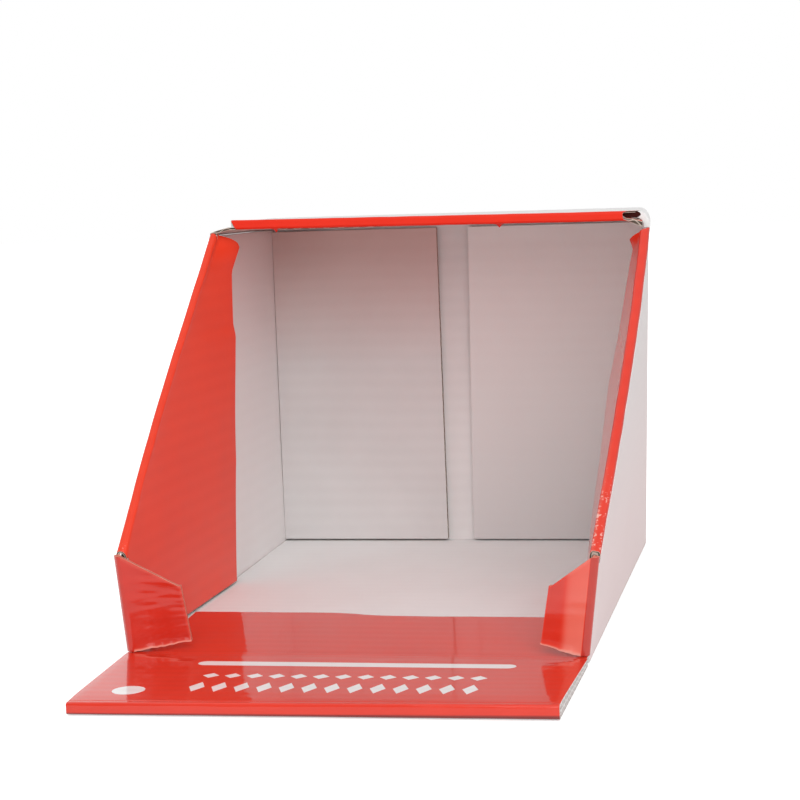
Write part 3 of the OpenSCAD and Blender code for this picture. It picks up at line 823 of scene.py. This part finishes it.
def glue_strip(u, v, w):
    """The face's tail, full width by the crease and cut narrower behind; its back edge is uneven."""
    back = CREASE_GAP + (STRIP - 2) * v ** 1.3
    half = STRIP_FULL if back < 3.3 else mix(*STRIP_NARROW, min(1.0, max(0.0, back - 8) / 5))
    x = mix(-half, half, u)
    uneven = 5.0 * falling(x, -10, 5) + 0.4 * wobble(x, 2, 2, 16.0)
    return x, back + uneven * v ** 2, mix(strip_top(back), floor_top(back), w)


def nose_shade(u, v):
    """The lower part of the header's front fold is painted darker, as painted shade where it turns from the
    light.
    """
    return -0.9 * min(1.0, max(0.0, (v - mix(0.66, 0.59, u)) / 0.05)), 0.0


header_print = board_finish("header_print", RED, RED_SHADE, "Y", worn_and_shaded_print, white_print,
                            gloss=0.8, ripple=0.03)
header_under = board_finish("header_under", WHITE, WHITE_SHADE, "Y")
# Its tones start with the painted shade in the hollows.
header_cut = cut_finish("header_cut", "Y",
                        tones=((0.60, 0.54, 0.52), (0.74, 0.68, 0.66), (0.88, 0.84, 0.82)))
backing = bent_board("header_backing", 20, 20, header_board(1), (header_under, header_under, header_cut),
                     edge=0.3)
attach(backing, "header")
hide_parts("header_backing_panel")
face = bent_board("header_face", 40, 60, header_board(2), (header_print, header_under, header_cut), edge=0.3)
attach(face, "header")
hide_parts("header_face_panel")
nose = bent_board("header_nose", 60, 24, header_fold, (header_print, inner_paper, header_cut), edge=0.15,
                  wear_and_shade=nose_shade)
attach(nose, "header")
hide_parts("header_front_fold")
web = bent_board("header_crease", 60, 24, header_crease, (header_print, header_print, header_print),
                 edge=0.05)
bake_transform(web)
strip_print = board_finish("strip_print", RED, RED_SHADE, "Y", worn_and_shaded_print, gloss=1.0)
strip = bent_board("header_tail", 40, 50, glue_strip, (strip_print, header_under, header_cut), edge=0.3)
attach(strip, "carton")
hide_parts("header_glue_strip")


# Corner tabs: small printed flaps on the walls' short front edges, folded in across the corners.
# Their fold is a rounded spine, and their lower edges are torn and show the pale core.
# Tones of the tabs' torn edges: painted shade in the hollows, then the pulp from dark to light.
PULP = ((0.60, 0.16, 0.11), (0.74, 0.24, 0.18), (0.86, 0.42, 0.34))
TAB_REACH, TAB_TURN = {LEFT: 21.4, RIGHT: 16.2}, {LEFT: 10, RIGHT: 12}
TAB_TOP, TAB_TIP = 41.2, {LEFT: 27.0, RIGHT: 28.0}           # its upper edge, at the spine and the tip
TAB_FOOT, TAB_FREE_FOOT = 3.45, {LEFT: 4.8, RIGHT: 5.3}      # its lower edge, at the spine and the tip
TAB_LEAN_AT = 40.3                                           # height where it leans as its wall does
TAB_CRUMPLE = {LEFT: 0.13, RIGHT: 0.0}                       # height of its small crumples
TAB_DISH = {LEFT: 0.0, RIGHT: 0.5}                           # depth of its broad hollow
TAB_KICK = {LEFT: 0.7, RIGHT: 0.0}                           # how far its lower part stands back
# The spine's section: the share of the way across the tab, and the place across and out
SPINE = 0.2
SPINE_SECTION = ((0.0, -BOARD, 0.0), (0.05, -2.75, -0.8), (0.10, -1.7, -2.2), (0.16, -0.5, -2.72),
                 (SPINE, 0.0, -BOARD))


def corner_tab(side):
    """One side's tab, from its rounded spine to its free edge: its shape, and its wear and painted light and
    shade.
    """
    reach = TAB_REACH[side]
    tilt = math.atan(lean(side, SETBACK, TAB_LEAN_AT) / TAB_LEAN_AT)
    stand = (Matrix.Translation((-HALF + BOARD, SETBACK, 0)) @ Matrix.Rotation(-tilt, 4, "Y")
             @ Matrix.Rotation(math.radians(TAB_TURN[side]), 4, "Z"))

    def on_spine(v, w):
        for a, b in zip(SPINE_SECTION, SPINE_SECTION[1:]):
            if v <= b[0]:
                part = (v - a[0]) / (b[0] - a[0])
                return mix(a[1], b[1], part) * (1 - 0.9 * w), mix(a[2], b[2], part) * (1 - 0.9 * w)

    def on_flap(u, out, w):
        x, y = out * reach, -0.28 * w - BOARD * (1 - w)
        rise = u * 34 - 0.42 * x
        y += (TAB_CRUMPLE[side] * wobble(x * 0.25, side * 3, rise, 2.4) * min(1.0, 3 * out)
              - TAB_DISH[side] * math.sin(math.pi * out) + 0.1 * wobble(x, side * 7, rise, 14.0))
        y -= 0.7 * math.exp(-(u / 0.05) ** 2) * min(1.0, 4 * out) * (1 - w)
        return x, y + TAB_KICK[side] * (1 - u) * min(1.0, 3 * out)

    def place(u, v, w):
        out = max(0.0, (v - SPINE) / (1 - SPINE))
        x, y = on_spine(v, w) if v <= SPINE else on_flap(u, out, w)
        spine = max(0.0, 1 - v / SPINE)
        high = mix(TAB_TOP, TAB_TIP[side], min(1.0, out * reach / (reach - 1))) + 0.8 * spine
        low = mix(TAB_FOOT, TAB_FREE_FOOT[side], out) + 0.35 * spine
        low += 0.3 * wobble(x, side, w, 1.9) * min(1.0, 4 * out)
        z = mix(low, high, u)
        if side == LEFT:
            x -= mix(1.7, 1.2, z / 40) * (1 - out)
        point = stand @ Vector((x - out * (z - low) / (high - low), y, z))
        return -side * point.x, point.y, point.z

    def wear_and_shade(u, v):
        if v < SPINE:
            # Painted shade: the right tab's spine is painted darker.
            return (-0.4 if side == RIGHT and v < 0.17 else 0.0), 0.0
        out = (v - SPINE) / (1 - SPINE)
        # The torn lower lip and the rims are rubbed; the right tab is paler toward its spine, a painted
        # reflection, and a little darker toward the top of its outer half, painted shade
        lip = 0.9 * math.exp(-(u / 0.02) ** 2) * (v > SPINE)
        rim = 0.15 * math.exp(-((1 - u) / 0.03) ** 2) + 0.15 * math.exp(-((1 - out) / 0.03) ** 2)
        inner = falling(out, mix(0.46, 0.54, u), 0.04)
        pale = mix(0.4, 0.2, u) * inner - 0.14 * u * (1 - inner) if side == RIGHT else 0.0
        return min(1.0, lip + rim + pale), 0.0

    return place, wear_and_shade


# The left tab's print is painted a darker red than the right's, as painted shade.
shaded_left_tab_print = board_finish("shaded_left_tab_print", (0.66, 0.024, 0.008), (0.56, 0.018, 0.006), "Z", worn_and_shaded_print,
                              gloss=0.8, ripple=0.03, haze=0.1)
right_tab_print = board_finish("right_tab_print", RED, RED_SHADE, "Z", worn_and_shaded_print,
                               gloss=1.0, ripple=0.03, haze=0.1)
return_back = board_finish("return_back", (0.50, 0.42, 0.36), (0.42, 0.34, 0.28), "Z")
tab_cut = cut_finish("tab_cut", "Z", tones=PULP)
for side, name, node, body, outside in (
        (LEFT, "tab_left", "left_corner_tab", "left_tab", shaded_left_tab_print),
        (RIGHT, "tab_right", "right_corner_tab", "right_tab", right_tab_print)):
    place, wear_and_shade = corner_tab(side)
    tab = bent_board(name, 100, 60, place, (outside, return_back, tab_cut), edge=0.25, wear_and_shade=wear_and_shade)
    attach(tab, body)
    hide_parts(node)
